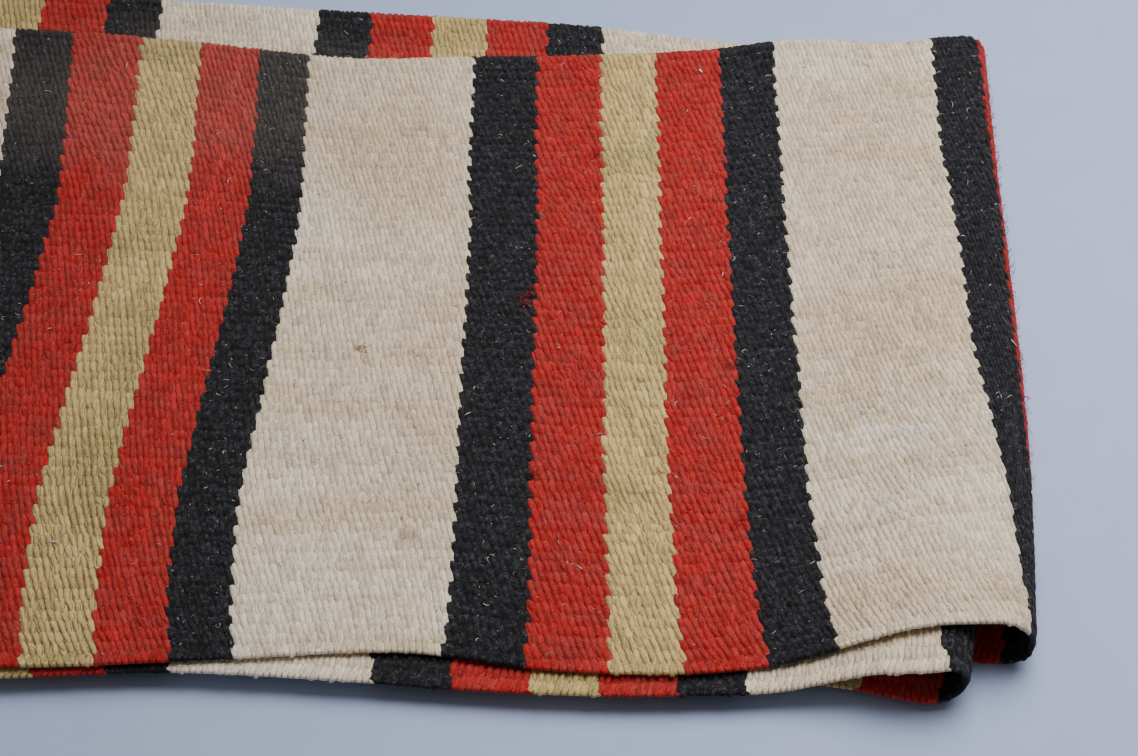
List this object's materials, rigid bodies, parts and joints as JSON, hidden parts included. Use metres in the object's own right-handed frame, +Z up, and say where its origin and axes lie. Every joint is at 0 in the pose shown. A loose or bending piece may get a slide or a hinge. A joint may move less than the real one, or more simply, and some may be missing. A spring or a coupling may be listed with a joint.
{
  "type": "folded saddle blanket",
  "caption": "Striped woven wool saddle blanket, folded in half twice and lying flat, with nested loops at the folded end.",
  "frame": {"origin": "middle of the bounding box's underside, on the surface the blanket lies on", "axes": "+X along the blanket's length towards the open loops of the lengthwise fold, +Y towards the smooth back fold, +Z up"},
  "size_m": [0.7968, 0.4598, 0.0282],
  "materials": {
    "striped_wool": "matte coarse handwoven wool in stripes of cream, black, red and tan gold"
  },
  "bodies": {
    "root": {"blanket": "striped_wool"}
  },
  "joints": []
}
